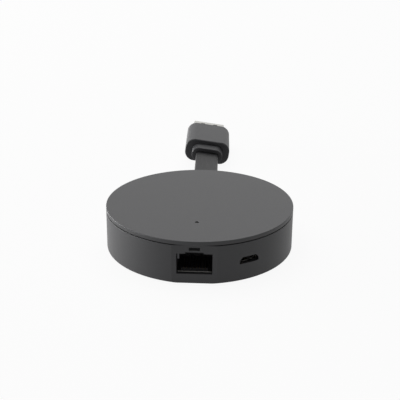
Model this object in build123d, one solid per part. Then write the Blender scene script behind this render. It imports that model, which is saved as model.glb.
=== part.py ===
from build123d import *
from math import cos, radians, sin, sqrt, tan
import os

os.makedirs("parts", exist_ok=True)

# Streaming puck with a short flat lead and a video plug, in millimetres.
# Origin: middle of the foot pad's underside. +Z up, -Y to the network socket, +Y to the plug.

# Driving dimensions of the case
case_diameter = 65.0
case_wall = 1.8
floor_thickness = 1.5
cover_thickness = 1.42
cover_edge_radius = 0.2
cover_lip_thickness = 1.0
cover_lip_height = 1.5
seam_gap = 0.28
seam_depth = 0.7
base_edge_radius = 0.35
front_flat_depth = 0.82
light_hole_diameter = 1.05
light_hole_offset = 1.38
fit_clearance = 0.1

# Foot pad, case screws and the posts that take them
pad_diameter = 55.0
pad_thickness = 0.8
pad_proud = 0.25
pad_edge_radius = 0.2
screw_cover_margin = 1.5
screw_angles = (-12, 58, 122, 192)
screw_diameter = 2.0
screw_head_diameter = 3.8
screw_head_height = 1.2
screw_recess_width = 0.6
screw_recess_length = 2.4
screw_recess_depth = 0.7
screw_bite = 5.0
screw_tip_room = 0.5
screw_seat_drop = 0.15
base_post_wall = 1.0
cover_post_wall = 1.4

# Main board, and the chips, pad and plate under it
board_thickness = 1.2
board_clearance = 0.8
board_hole_clearance = 0.2
flash_width = 13.0
flash_depth = 11.5
flash_thickness = 1.0
flash_setback = 2.4
processor_side = 14.0
processor_thickness = 1.3
thermal_pad_side = 13.0
thermal_pad_thickness = 1.0
spreader_width = 30.0
spreader_depth = 20.0
spreader_thickness = 0.8
spreader_corner_radius = 3.0
memory_width = 7.5
memory_depth = 11.0
memory_thickness = 1.0
chip_gap = 1.2

# Network jack and its opening in the front flat
jack_side_wall = 0.85
jack_top_wall = 0.4
jack_back_wall = 1.2
jack_depth = 12.2
jack_face_wall = 1.0
jack_floor_clearance = 0.6
jack_headroom = 0.53
shield_thickness = 0.2
shield_ear_width = 1.4
shield_ear_length = 4.0
shield_finger_height = 1.3
shield_finger_reach = 0.3
shield_finger_length = 3.0
socket_width = 11.6
socket_bottom = 3.3
socket_height = 7.1
socket_step_width = 5.9
socket_step_height = 0.55
latch_width = 3.5
latch_height = 1.6
jack_lip_rise = 0.5
jack_lip_thickness = 0.3
jack_lip_depth = 2.5
jack_contact_count = 8
jack_contact_pitch = 1.02
jack_contact_width = 0.5
jack_contact_thickness = 0.22
jack_contact_length = 8.5
jack_contact_rise = 1.3
jack_contact_setback = 0.8
jack_contact_fold = 0.8

# Power socket, set on a radius of the case
power_angle = 33.0
power_width = 7.2
power_height = 2.3
power_corner_width = 1.1
power_corner_height = 1.15
power_depth = 5.4
power_shell_thickness = 0.25
power_rim = 0.1
power_back_wall = 1.0
power_tongue_width = 3.8
power_tongue_thickness = 0.6
power_tongue_setback = 0.6
power_contact_count = 5
power_contact_pitch = 0.65
power_contact_width = 0.35
power_contact_thickness = 0.12

# Parts on top of the board
transformer_width = 12.4
transformer_depth = 6.6
transformer_height = 3.8
led_width = 1.6
led_depth = 0.8
led_height = 0.7
light_pipe_diameter = 1.8
light_pipe_gap = 0.3
light_pipe_clearance = 0.08
light_pipe_drop = 0.35
light_pipe_flange_diameter = 2.6
light_pipe_flange_height = 0.35
radio_side = 12.0
radio_edge_gap = 8.4
radio_y = 8.0
radio_board_thickness = 0.6
radio_shield_height = 1.7
radio_shield_inset = 0.6
antenna_angles = (15, 165)
antenna_length = 12.0
antenna_height = 5.0
antenna_thickness = 0.3
antenna_foot = 1.6
antenna_edge_gap = 2.0
small_chip_height = 0.9
network_chip_side = 5.0
network_chip_gap = 2.3
crystal_width = 3.2
crystal_depth = 2.5
crystal_height = 0.8
crystal_gap = 1.4
processor_crystal_x = 6.0
processor_crystal_drop = 2.0
power_chip_side = 4.0
power_edge_gap = 9.4
power_row_y = 4.5
power_column_pitch = 5.5
power_row_pitch = 6.0
inductor_side = 4.0
inductor_height = 2.4
inductor_core_drop = 0.3
capacitor_diameter = 5.0
capacitor_height = 5.2
capacitor_base_height = 0.6
capacitor_setbacks = ((3.0, 7.6), (8.15, 5.4))
passive_length = 1.0
passive_width = 0.5
passive_height = 0.5
passive_pitch = 1.6
passive_columns = 6
passive_rows = 2
passive_gap = 2.25
capacitor_row_offset = 1.0
resistor_row_gap = 3.5

# Flat lead, its gland in the case wall, its board connector and conductors
lead_width = 9.3
lead_thickness = 2.6
lead_edge_radius = 0.9
lead_height = 6.5
lead_reach = 45.4
lead_clearance = 0.15
lead_stations = 9
gland_wall = 1.1
gland_flange = 1.2
gland_flange_thickness = 1.2
gland_proud = 0.7
gland_tail = 2.4
lead_tail = 0.6
connector_width = 11.0
connector_depth = 3.6
connector_height = 1.8
conductor_count = 8
conductor_pitch = 1.05
conductor_diameter = 0.7
conductor_run = 4.6

# Video plug: grip, boot, inner parts
plug_width = 18.85
plug_height = 9.75
plug_length = 25.7
plug_corner_radius = 4.0
plug_edge_radius = 0.5
plug_wall = 1.5
plug_drift = 0.93
plug_roll = 8.0
plug_yaw = 1.6
plug_pitch = 2.0
boot_side_margin = 2.83
boot_top_margin = 1.73
boot_corner_margin = 0.9
boot_length = 5.5
boot_taper = 2.0
boot_edge_radius = 0.2
boot_rim = 0.5
boot_flange_thickness = 1.4
boot_pocket_depth = 2.2
lead_end_depth = 5.0
card_length = 8.8
card_thickness = 0.8
card_overlap = 1.6

# Video plug: metal shell, contact insert and contacts
video_width = 13.9
video_height = 4.45
video_chamfer = 1.3
video_thickness = 0.3
video_reach = 11.9
video_depth = 6.0
window_width = 1.8
window_length = 2.6
window_spacing = 5.7
window_setback = 3.5
insert_setback = 0.8
insert_slot_width = 11.4
insert_slot_height = 1.9
insert_slot_depth = 7.8
video_contact_pitch = 1.0
video_contact_width = 0.5
video_contact_thickness = 0.15
video_contact_setback = 0.5
upper_contact_count = 10
lower_contact_count = 9

# Heights and radii of the case that follow from the sizes above
case_radius = case_diameter / 2
inner_radius = case_radius - case_wall
case_bottom = pad_proud
floor_top = case_bottom + floor_thickness
flat_y = front_flat_depth - case_radius
screw_circle_radius = (pad_diameter - screw_head_diameter) / 2 - fit_clearance - screw_cover_margin
base_post_diameter = screw_head_diameter + 2 * fit_clearance + 2 * base_post_wall
cover_post_diameter = screw_diameter + 2 * cover_post_wall
screw_seat = pad_thickness + screw_seat_drop + screw_head_height

# Height and radius of the board above the stack on the floor
board_bottom = floor_top + spreader_thickness + thermal_pad_thickness + processor_thickness
board_top = board_bottom + board_thickness
board_radius = inner_radius - board_clearance
screw_top = board_top + screw_bite

# Network jack, behind the front flat
jack_front = flat_y + jack_face_wall + shield_thickness
jack_back = jack_front + jack_depth
socket_base = case_bottom + socket_bottom
jack_floor = socket_base + jack_lip_rise
jack_bottom = floor_top + jack_floor_clearance
socket_top = socket_base + socket_height
latch_top = socket_top + socket_step_height + latch_height
jack_top = latch_top + jack_top_wall
jack_width = socket_width + 2 * jack_side_wall
shield_width = jack_width + 2 * shield_thickness

# The lid and the seam lie over the jack
cover_bottom = jack_top + shield_thickness + jack_headroom
case_top = cover_bottom + cover_thickness
ledge_top = cover_bottom - seam_gap

# Rows behind the jack: light and transformer above the board, storage and processor below it
light_y = jack_back + light_hole_offset
transformer_front = light_y + light_pipe_flange_diameter / 2 + chip_gap
transformer_y = transformer_front + transformer_depth / 2
resistor_y = transformer_y + transformer_depth / 2 + resistor_row_gap
flash_y = jack_back + shield_thickness + flash_setback + flash_depth / 2
processor_y = flash_y + (flash_depth + processor_side) / 2 + chip_gap

# Columns in from the board's edge: radio and small parts on one side, power parts on the other
radio_x = radio_edge_gap + radio_side / 2 - board_radius
capacitor_y = radio_y + capacitor_row_offset
passive_x = radio_x + radio_side / 2 + passive_gap + passive_columns * passive_pitch / 2
network_chip_x = -(transformer_width + network_chip_side) / 2 - network_chip_gap
network_crystal_x = network_chip_x - (network_chip_side + crystal_width) / 2 - crystal_gap
power_x = board_radius - power_edge_gap - inductor_side / 2

# Power socket, in a frame turned so that -Y points out of the case
power_frame = Rot(0, 0, power_angle)
power_front = -(inner_radius - 3 * fit_clearance)
power_back = power_front + power_depth
power_inner_width = power_width - 2 * power_rim
power_inner_height = power_height - 2 * power_rim
power_middle = board_top + power_shell_thickness + power_inner_height / 2

# Gland and lead
lead_z = case_bottom + lead_height
gland_width = lead_width + 2 * lead_clearance + 2 * gland_wall
gland_height = lead_thickness + 2 * lead_clearance + 2 * gland_wall
flange_width = gland_width + 2 * gland_flange
flange_height = gland_height + 2 * gland_flange
gland_seat = sqrt(inner_radius**2 - (flange_width / 2) ** 2) - fit_clearance
gland_inner = gland_seat - gland_flange_thickness - gland_tail
gland_outer = case_radius + gland_proud
lead_start = gland_inner - lead_tail
connector_back = lead_start - conductor_run

# Plug: its frame has its origin in the middle of the end face, and +Y towards the contacts.
# The lead holds that end up, and the lower edge of the other end rests on the surface.
plug_half_width = plug_width / 2 - plug_corner_radius
plug_half_height = plug_height / 2 - plug_corner_radius
plug_drop = plug_half_width * sin(radians(plug_roll)) + plug_half_height * cos(radians(plug_roll))
plug_rise = plug_length * sin(radians(plug_pitch))
plug_z = (plug_corner_radius + plug_drop) * cos(radians(plug_pitch)) + plug_rise
plug_y = case_radius + lead_reach
plug_turn = Rot(0, 0, plug_yaw) * Rot(-plug_pitch, 0, 0) * Rot(0, plug_roll, 0)
plug_frame = Pos(-plug_drift, plug_y, plug_z) * plug_turn
cavity_end = plug_length - plug_wall
mould_start = plug_wall + boot_flange_thickness + fit_clearance
video_back = plug_length - video_depth
video_tip = plug_length + video_reach
insert_tip = video_tip - insert_setback
slot_end = insert_tip - insert_slot_depth
card_start = video_back - card_length


def block(width, depth, height, x=0.0, y=0.0, z=0.0):
    """A box centred on x and y that stands on z."""
    return Pos(x, y, z) * Box(width, depth, height, align=(Align.CENTER, Align.CENTER, Align.MIN))


def span(x, y, z):
    """A box given by its low and high limits along each axis."""
    size = (x[1] - x[0], y[1] - y[0], z[1] - z[0])
    return Pos(x[0], y[0], z[0]) * Box(*size, align=(Align.MIN, Align.MIN, Align.MIN))


def rod(diameter, bottom, top, x=0.0, y=0.0):
    """An upright cylinder between two heights."""
    base = (Align.CENTER, Align.CENTER, Align.MIN)
    return Pos(x, y, bottom) * Cylinder(diameter / 2, top - bottom, align=base)


def along_y(outline, start, end, z=0.0):
    """A bar with its outline in the XZ plane, from one y to another."""
    return Pos(0, start, z) * extrude(Plane.XZ * outline, amount=start - end)


def lead_outline(margin=0.0):
    """Section of the flat lead, larger all round by the margin."""
    width = lead_width + 2 * margin
    height = lead_thickness + 2 * margin
    return RectangleRounded(width, height, lead_edge_radius + margin)


def screw_places():
    """Where the case screws stand, seen from above."""
    return [
        (screw_circle_radius * cos(radians(a)), screw_circle_radius * sin(radians(a)))
        for a in screw_angles
    ]


def row(count, pitch):
    """Offsets of a row of like pieces about its middle."""
    return [(i - (count - 1) / 2) * pitch for i in range(count)]


def socket_outline(margin=0.0):
    """The stepped network opening, with z = 0 on the case's underside."""
    main = Pos(0, socket_bottom + socket_height / 2) * Rectangle(
        socket_width + 2 * margin, socket_height + 2 * margin
    )
    step_height = socket_height + socket_step_height
    step = Pos(0, socket_bottom + step_height / 2) * Rectangle(
        socket_step_width + 2 * margin, step_height + 2 * margin
    )
    notch_height = step_height + latch_height
    notch = Pos(0, socket_bottom + notch_height / 2) * Rectangle(
        latch_width + 2 * margin, notch_height + 2 * margin
    )
    return main + step + notch


def power_outline(margin=0.0):
    """The power opening: a wide foot and two sloped upper corners."""
    half = power_width / 2 + margin
    low = -power_height / 2 - margin
    high = power_height / 2 + margin
    shoulder = high - power_corner_height
    top = half - power_corner_width
    points = [(-half, low), (half, low), (half, shoulder), (top, high), (-top, high), (-half, shoulder)]
    return make_face(Polyline(*points, close=True))


def video_outline(shrink=0.0):
    """Section of the video plug's shell, smaller all round by shrink."""
    half = video_width / 2 - shrink
    high = video_height / 2 - shrink
    chamfer_left = video_chamfer - (2 - sqrt(2)) * shrink
    foot = half - chamfer_left
    knee = chamfer_left - high
    points = [(-half, high), (half, high), (half, knee), (foot, -high), (-foot, -high), (-half, knee)]
    return make_face(Polyline(*points, close=True))


def edges_at(solid, axis, limit):
    """The edges of one end face along an axis: limit 0 is the lowest face, -1 the highest."""
    return solid.faces().sort_by(axis)[limit].edges()


def top_cover():
    """Flat lid with a soft top edge, a locating lip, four posts and the light's pinhole."""
    plate = rod(case_diameter, cover_bottom, case_top)
    plate = fillet(edges_at(plate, Axis.Z, -1), cover_edge_radius)
    lip_diameter = 2 * (inner_radius - fit_clearance)
    lip = rod(lip_diameter, cover_bottom - cover_lip_height, cover_bottom)
    lip -= rod(lip_diameter - 2 * cover_lip_thickness, cover_bottom - cover_lip_height, cover_bottom)
    lip_gap = shield_width / 2 + cover_lip_thickness
    lip -= span((-lip_gap, lip_gap), (-case_radius, jack_back), (board_top, cover_bottom))
    cover = plate + lip
    for x, y in screw_places():
        cover += rod(cover_post_diameter, board_top, cover_bottom, x, y)
    pilot = screw_diameter + fit_clearance
    for x, y in screw_places():
        cover -= rod(pilot, board_top, screw_top + screw_tip_room, x, y)
    return cover - rod(light_hole_diameter, cover_bottom, case_top, 0, light_y)


def base_shell():
    """Round cup with a flat front, the three wall openings, the pad recess and the screw posts."""
    shell = rod(case_diameter, case_bottom, ledge_top)
    shell = fillet(edges_at(shell, Axis.Z, 0), base_edge_radius)
    shell += rod(2 * (case_radius - seam_depth), floor_top, cover_bottom)
    shell -= rod(2 * inner_radius, floor_top, cover_bottom)
    shell -= span((-case_radius, case_radius), (-case_diameter, flat_y), (0, case_top))
    shell -= rod(pad_diameter + 2 * fit_clearance, case_bottom, pad_thickness)
    pocket_half = shield_width / 2 + fit_clearance
    pocket_front = jack_front - shield_thickness
    shell -= span((-pocket_half, pocket_half), (pocket_front, 0), (floor_top, cover_bottom))
    shell -= along_y(socket_outline(), -case_radius, -inner_radius + jack_depth, case_bottom)
    power_hole = along_y(power_outline(), -case_radius - fit_clearance, power_front, power_middle)
    shell -= power_frame * power_hole
    gland_hole = SlotOverall(gland_width + 2 * fit_clearance, gland_height + 2 * fit_clearance)
    shell -= along_y(gland_hole, gland_seat, gland_outer, lead_z)
    for x, y in screw_places():
        shell += rod(base_post_diameter, floor_top, board_bottom, x, y)
    for x, y in screw_places():
        shell -= rod(screw_head_diameter + 2 * fit_clearance, pad_thickness, screw_seat, x, y)
        shell -= rod(screw_diameter + 2 * fit_clearance, screw_seat, board_bottom, x, y)
    return shell


def foot_pad():
    """Rubber disc in the base's recess, a little proud, over the screw heads."""
    pad = rod(pad_diameter, 0, pad_thickness)
    return fillet(edges_at(pad, Axis.Z, 0), pad_edge_radius)


def case_screws():
    """Pan head screws from below, through the board, into the cover's posts."""
    screws = []
    for x, y in screw_places():
        head_bottom = screw_seat - screw_head_height
        screw = rod(screw_head_diameter, head_bottom, screw_seat, x, y)
        screw += rod(screw_diameter, screw_seat, screw_top, x, y)
        screw -= block(screw_recess_length, screw_recess_width, screw_recess_depth, x, y, head_bottom)
        screw -= block(screw_recess_width, screw_recess_length, screw_recess_depth, x, y, head_bottom)
        screws.append(screw)
    return screws


def main_board():
    """Round circuit board with cut-outs for the jack and the lead's gland."""
    board = rod(2 * board_radius, board_bottom, board_top)
    jack_half = shield_width / 2 + fit_clearance
    cut_back = jack_back + shield_thickness + fit_clearance
    board -= span((-jack_half, jack_half), (-case_radius, cut_back), (board_bottom, board_top))
    gland_half = flange_width / 2 + 2 * fit_clearance
    notch_front = lead_start - 2 * fit_clearance
    board -= span((-gland_half, gland_half), (notch_front, case_radius), (board_bottom, board_top))
    for x, y in screw_places():
        board -= rod(screw_diameter + 2 * board_hole_clearance, board_bottom, board_top, x, y)
    return board


def chip_under_board(width, depth, thickness, x, y):
    """A flat chip package that hangs on the board's underside."""
    return block(width, depth, thickness, x, y, board_bottom - thickness)


def memory_chips():
    """Two memory packages beside the processor."""
    offset = (processor_side + memory_width) / 2 + chip_gap
    return [
        chip_under_board(memory_width, memory_depth, memory_thickness, side * offset, processor_y)
        for side in (-1, 1)
    ]


def flash_chip():
    """The storage package in front of the processor."""
    return chip_under_board(flash_width, flash_depth, flash_thickness, 0, flash_y)


def heat_spreader():
    """Aluminium plate bonded to the case floor under the processor."""
    outline = RectangleRounded(spreader_width, spreader_depth, spreader_corner_radius)
    return Pos(0, processor_y, floor_top) * extrude(outline, amount=spreader_thickness)


def network_jack_body():
    """Moulded jack: stepped cavity, thin lower lip with a gap under it, closed back."""
    body = span((-jack_width / 2, jack_width / 2), (jack_front, jack_back), (jack_bottom, jack_top))
    cavity = along_y(socket_outline(), jack_front, jack_back - jack_back_wall, case_bottom)
    below_lip = span(
        (-socket_width / 2, socket_width / 2),
        (jack_front, jack_back - jack_back_wall),
        (socket_base, jack_floor),
    )
    gap = span(
        (-socket_width / 2, socket_width / 2),
        (jack_front, jack_front + jack_lip_depth),
        (socket_base, jack_floor - jack_lip_thickness),
    )
    return body - (cavity - below_lip) - gap


def network_jack_shield():
    """Folded sheet round the jack, with solder ears on the board and two front fingers."""
    half = shield_width / 2
    top = jack_top + shield_thickness
    back = jack_back + shield_thickness
    shield = span((-half, half), (jack_front, back), (jack_bottom, top))
    inner_half = jack_width / 2
    shield -= span((-inner_half, inner_half), (jack_front, jack_back), (jack_bottom, jack_top))
    ear_y = (jack_front + jack_back) / 2
    finger_z = socket_top - fit_clearance
    for side in (-1, 1):
        ear_x = side * (half + shield_ear_width / 2)
        shield += block(shield_ear_width, shield_ear_length, shield_thickness, ear_x, ear_y, board_top)
        finger_heights = (finger_z - shield_finger_height, finger_z)
        wall = side * socket_width / 2
        tip = wall - side * shield_finger_reach
        face = (jack_front - shield_thickness, jack_front)
        shield += span(sorted((tip, side * half)), face, finger_heights)
        leaf = (jack_front, jack_front + shield_finger_length)
        shield += span(sorted((tip, wall)), leaf, finger_heights)
    return shield


def network_contacts():
    """Folded spring strips on the jack's floor, rising to the back."""
    front = jack_front + jack_contact_setback
    back = front + jack_contact_length
    low = jack_floor
    strip = jack_contact_thickness
    tip = low + jack_contact_rise
    points = [
        (front, low),
        (back, low),
        (back, low + strip),
        (front + jack_contact_fold, low + strip),
        (back, tip),
        (back, tip + strip),
        (front, low + strip),
    ]
    outline = make_face(Polyline(*points, close=True))
    spring = extrude(Plane.YZ * outline, amount=jack_contact_width / 2, both=True)
    return [Pos(x, 0, 0) * spring for x in row(jack_contact_count, jack_contact_pitch)]


def power_socket_shell():
    """Folded metal sleeve of the power socket, standing on the board."""
    outer = power_outline(power_shell_thickness - power_rim)
    inner = power_outline(-power_rim)
    return power_frame * along_y(outer - inner, power_front, power_back, power_middle)


def power_socket_tongue():
    """Moulded back wall and thin tongue inside the power socket."""
    wall_front = power_back - power_back_wall
    wall = along_y(power_outline(-power_rim - fit_clearance / 2), wall_front, power_back, power_middle)
    half = power_tongue_width / 2
    tongue_front = power_front + power_tongue_setback
    tongue = span((-half, half), (tongue_front, wall_front), (0, power_tongue_thickness))
    return power_frame * (wall + Pos(0, 0, power_middle) * tongue)


def power_contacts():
    """Contact strips on the underside of the power socket's tongue."""
    wall_front = power_back - power_back_wall
    front = power_front + power_tongue_setback
    z = (power_middle - power_contact_thickness, power_middle)
    half = power_contact_width / 2
    return [
        power_frame * span((x - half, x + half), (front, wall_front), z)
        for x in row(power_contact_count, power_contact_pitch)
    ]


def network_transformer():
    """Coil module behind the light, on top of the board."""
    return block(transformer_width, transformer_depth, transformer_height, 0, transformer_y, board_top)


def light_pipe():
    """Clear rod from just above the lamp to just below the pinhole's mouth."""
    pin = light_hole_diameter - 2 * light_pipe_clearance
    flange_bottom = cover_bottom - light_pipe_flange_height
    pipe = rod(light_pipe_diameter, board_top + led_height + light_pipe_gap, flange_bottom, 0, light_y)
    pipe += rod(light_pipe_flange_diameter, flange_bottom, cover_bottom, 0, light_y)
    return pipe + rod(pin, cover_bottom, case_top - light_pipe_drop, 0, light_y)


def radio_shield():
    """Drawn sheet can over the radio module's circuit."""
    side = radio_side - 2 * radio_shield_inset
    base = board_top + radio_board_thickness
    can = block(side, side, radio_shield_height, radio_x, radio_y, base)
    inner = side - 2 * shield_thickness
    room = radio_shield_height - shield_thickness
    return can - block(inner, inner, room, radio_x, radio_y, base)


def antennas():
    """Two upright stamped strips near the board's edge, each with a soldered foot."""
    radius = board_radius - antenna_edge_gap
    strips = []
    for angle in antenna_angles:
        strip = block(antenna_thickness, antenna_length, antenna_height, radius, 0, board_top)
        foot_x = radius - (antenna_foot + antenna_thickness) / 2
        strip += block(antenna_foot, antenna_length, antenna_thickness, foot_x, 0, board_top)
        strips.append(Rot(0, 0, angle) * strip)
    return strips


def small_chip(side, x, y):
    """A square chip package on top of the board."""
    return block(side, side, small_chip_height, x, y, board_top)


def crystals():
    """Two metal-lidded oscillators, one beside the network chip and one over the processor."""
    return [
        block(crystal_width, crystal_depth, crystal_height, x, y, board_top)
        for x, y in (
            (network_crystal_x, transformer_y),
            (processor_crystal_x, processor_y - processor_crystal_drop),
        )
    ]


def power_inductors():
    """Square coils with a round core that stands a little lower."""
    core = inductor_side - 2 * inductor_core_drop
    back_y = power_row_y + power_row_pitch
    coils = []
    for x, y in ((power_x - power_column_pitch, back_y), (power_x, back_y), (power_x, power_row_y)):
        coil = block(inductor_side, inductor_side, inductor_height, x, y, board_top)
        top = board_top + inductor_height
        coils.append(coil - rod(core, top - inductor_core_drop, top, x, y))
    return coils


def bulk_capacitors():
    """Round cans on square moulded bases, behind the power socket."""
    cans = []
    for x, setback in capacitor_setbacks:
        y = power_back + setback
        can = block(capacitor_diameter, capacitor_diameter, capacitor_base_height, x, y, board_top)
        base_top = board_top + capacitor_base_height
        can += rod(capacitor_diameter, base_top, board_top + capacitor_height, x, y)
        cans.append(power_frame * can)
    return cans


def passives(y):
    """A small field of chip capacitors or resistors."""
    return [
        block(passive_width, passive_length, passive_height, passive_x + dx, y + dy, board_top)
        for dx in row(passive_columns, passive_pitch)
        for dy in row(passive_rows, passive_pitch)
    ]


def cable_gland():
    """Moulded sleeve on the lead: neck through the wall, flange behind it, tail inside."""
    neck = SlotOverall(gland_width, gland_height)
    gland = along_y(neck, gland_inner, gland_outer, lead_z)
    flange = SlotOverall(flange_width, flange_height)
    gland += along_y(flange, gland_seat - gland_flange_thickness, gland_seat, lead_z)
    return gland - along_y(lead_outline(lead_clearance), gland_inner, gland_outer, lead_z)


def lead_connector():
    """Board connector that the lead's conductors end in."""
    y = connector_back - connector_depth / 2
    return block(connector_width, connector_depth, connector_height, 0, y, board_top)


def lead_conductors():
    """Insulated wires from the cut end of the lead to the connector."""
    wire = along_y(Circle(conductor_diameter / 2), connector_back, lead_start, lead_z)
    return [Pos(x, 0, 0) * wire for x in row(conductor_count, conductor_pitch)]


def lead_station(share):
    """Place of the lead's section at a share of its free run, in line with both ends."""
    ease = share**2 * (3 - 2 * share)
    leaving = share * (1 - share) ** 2
    arriving = share**2 * (share - 1)
    start = Vector(0, gland_outer, lead_z)
    end = (plug_frame * Pos(0, -boot_length, 0)).position
    run = end.Y - start.Y
    inwards = (plug_turn * Pos(0, run, 0)).position
    place = start + (end - start) * ease + Vector(0, run, 0) * leaving + inwards * arriving
    turn = Rot(0, 0, plug_yaw * ease) * Rot(-plug_pitch * ease, 0, 0) * Rot(0, plug_roll * ease, 0)
    return Pos(place.X, place.Y, place.Z) * turn


def flat_lead():
    """The whole lead: straight in the gland, a slight sag and twist, straight in the plug."""
    shares = [i / (lead_stations - 1) for i in range(lead_stations)]
    sections = [lead_station(share) * (Plane.XZ * lead_outline()) for share in shares]
    lead = loft(sections)
    lead += along_y(lead_outline(), lead_start, gland_outer, lead_z)
    return lead + plug_frame * along_y(lead_outline(), -boot_length, lead_end_depth)


def grip_outline(shrink=0.0):
    """Section of the plug's grip, smaller all round by shrink."""
    width = plug_width - 2 * shrink
    height = plug_height - 2 * shrink
    return RectangleRounded(width, height, plug_corner_radius - shrink)


def plug_grip():
    """Outer moulding of the plug, hollow, open for the boot and for the metal shell."""
    grip = along_y(grip_outline(), 0, plug_length)
    ends = edges_at(grip, Axis.Y, 0) + edges_at(grip, Axis.Y, -1)
    grip = fillet(ends, plug_edge_radius)
    grip -= along_y(grip_outline(plug_wall), plug_wall, cavity_end)
    grip -= along_y(boot_outline(-fit_clearance / 2), 0, plug_wall)
    return grip - along_y(video_outline(-fit_clearance / 2), video_back, plug_length)


def boot_outline(shrink=0.0):
    """Section of the plug's boot, smaller all round by shrink."""
    width = plug_width - 2 * (boot_side_margin + shrink)
    height = plug_height - 2 * (boot_top_margin + shrink)
    return RectangleRounded(width, height, plug_corner_radius - boot_corner_margin - shrink)


def plug_boot():
    """Boot round the lead, with a pocket behind a thin rim and a flange inside the grip."""
    boot = extrude(Plane.XZ * boot_outline(), amount=boot_length, taper=boot_taper)
    boot = fillet(edges_at(boot, Axis.Y, 0), boot_edge_radius)
    boot += along_y(boot_outline(), 0, plug_wall)
    flange_end = plug_wall + boot_flange_thickness
    boot += along_y(grip_outline(plug_wall + fit_clearance), plug_wall, flange_end)
    pocket = boot_outline(boot_length * tan(radians(boot_taper)) + boot_rim)
    boot -= along_y(pocket, -boot_length, boot_pocket_depth - boot_length)
    return boot - along_y(lead_outline(lead_clearance), -boot_length, flange_end)


def plug_inner_mould():
    """Hard filling round the solder card and the back of the metal shell."""
    mould = along_y(grip_outline(plug_wall + fit_clearance), mould_start, cavity_end)
    mould -= along_y(lead_outline(lead_clearance), mould_start, lead_end_depth)
    card_room = Rectangle(card_width() + fit_clearance, lead_thickness)
    mould -= along_y(card_room, lead_end_depth, video_back)
    return mould - along_y(video_outline(-fit_clearance / 2), video_back, cavity_end)


def card_width():
    """The solder card is as wide as the inside of the metal shell."""
    return video_width - 2 * video_thickness - 2 * fit_clearance


def plug_card():
    """Small circuit card that joins the conductors to the contacts."""
    return along_y(Rectangle(card_width(), card_thickness), card_start, video_back)


def plug_conductors():
    """Wires from the lead's cut end to both faces of the solder card."""
    height = (card_thickness + conductor_diameter) / 2
    end = card_start + card_overlap
    wires = []
    for z in (-height, height):
        wire = along_y(Circle(conductor_diameter / 2), lead_end_depth, end, z)
        wires += [Pos(x, 0, 0) * wire for x in row(conductor_count, conductor_pitch)]
    return wires


def video_shell():
    """Folded metal sleeve of the video plug, with two latch windows above and below."""
    shell = along_y(video_outline() - video_outline(video_thickness), video_back, video_tip)
    window_y = video_tip - window_setback
    for x in row(2, window_spacing):
        shell -= block(window_width, window_length, video_height, x, window_y, -video_height / 2)
    return shell


def video_insert():
    """Moulded core of the shell, with the slot that takes the socket's tongue."""
    core = along_y(video_outline(video_thickness), video_back, insert_tip)
    return core - along_y(Rectangle(insert_slot_width, insert_slot_height), slot_end, insert_tip)


def video_contacts(count, side):
    """One row of contact strips on the slot's upper or lower face."""
    face = side * insert_slot_height / 2
    z = sorted((face, face - side * video_contact_thickness))
    half = video_contact_width / 2
    end = insert_tip - video_contact_setback
    return [span((x - half, x + half), (slot_end, end), z) for x in row(count, video_contact_pitch)]


def in_plug(pieces):
    """Pieces made in the plug's own frame, set where the plug lies."""
    return [plug_frame * piece for piece in pieces]


nodes = {
    "top_cover": [top_cover()],
    "base_shell": [base_shell()],
    "foot_pad": [foot_pad()],
    "case_screws": case_screws(),
    "main_board": [main_board()],
    "processor": [chip_under_board(processor_side, processor_side, processor_thickness, 0, processor_y)],
    "thermal_pad": [
        block(thermal_pad_side, thermal_pad_side, thermal_pad_thickness, 0, processor_y,
              floor_top + spreader_thickness)
    ],
    "heat_spreader": [heat_spreader()],
    "memory_chips": memory_chips(),
    "flash_chip": [flash_chip()],
    "network_jack_body": [network_jack_body()],
    "network_jack_shield": [network_jack_shield()],
    "network_contacts": network_contacts(),
    "network_transformer": [network_transformer()],
    "network_chip": [small_chip(network_chip_side, network_chip_x, transformer_y)],
    "power_socket_shell": [power_socket_shell()],
    "power_socket_tongue": [power_socket_tongue()],
    "power_contacts": power_contacts(),
    "power_chip": [small_chip(power_chip_side, power_x - power_column_pitch, power_row_y)],
    "power_inductors": power_inductors(),
    "bulk_capacitors": bulk_capacitors(),
    "chip_capacitors": passives(capacitor_y),
    "chip_resistors": passives(resistor_y),
    "crystals": crystals(),
    "radio_module": [block(radio_side, radio_side, radio_board_thickness, radio_x, radio_y, board_top)],
    "radio_shield": [radio_shield()],
    "antennas": antennas(),
    "status_light": [block(led_width, led_depth, led_height, 0, light_y, board_top)],
    "light_pipe": [light_pipe()],
    "cable_gland": [cable_gland()],
    "lead_connector": [lead_connector()],
    "lead_conductors": lead_conductors(),
    "flat_lead": [flat_lead()],
    "plug_grip": in_plug([plug_grip()]),
    "plug_boot": in_plug([plug_boot()]),
    "plug_inner_mould": in_plug([plug_inner_mould()]),
    "plug_card": in_plug([plug_card()]),
    "plug_conductors": in_plug(plug_conductors()),
    "video_shell": in_plug([video_shell()]),
    "video_insert": in_plug([video_insert()]),
    "video_contacts_upper": in_plug(video_contacts(upper_contact_count, 1)),
    "video_contacts_lower": in_plug(video_contacts(lower_contact_count, -1)),
}

for name, pieces in nodes.items():
    solids = [solid for piece in pieces for solid in piece.solids()]
    export_step(Compound(children=solids), f"parts/{name}.step")
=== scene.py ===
from math import asin, cos, pi, radians, sin, tan

import bmesh
import bpy
from mathutils import Matrix, Vector


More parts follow.
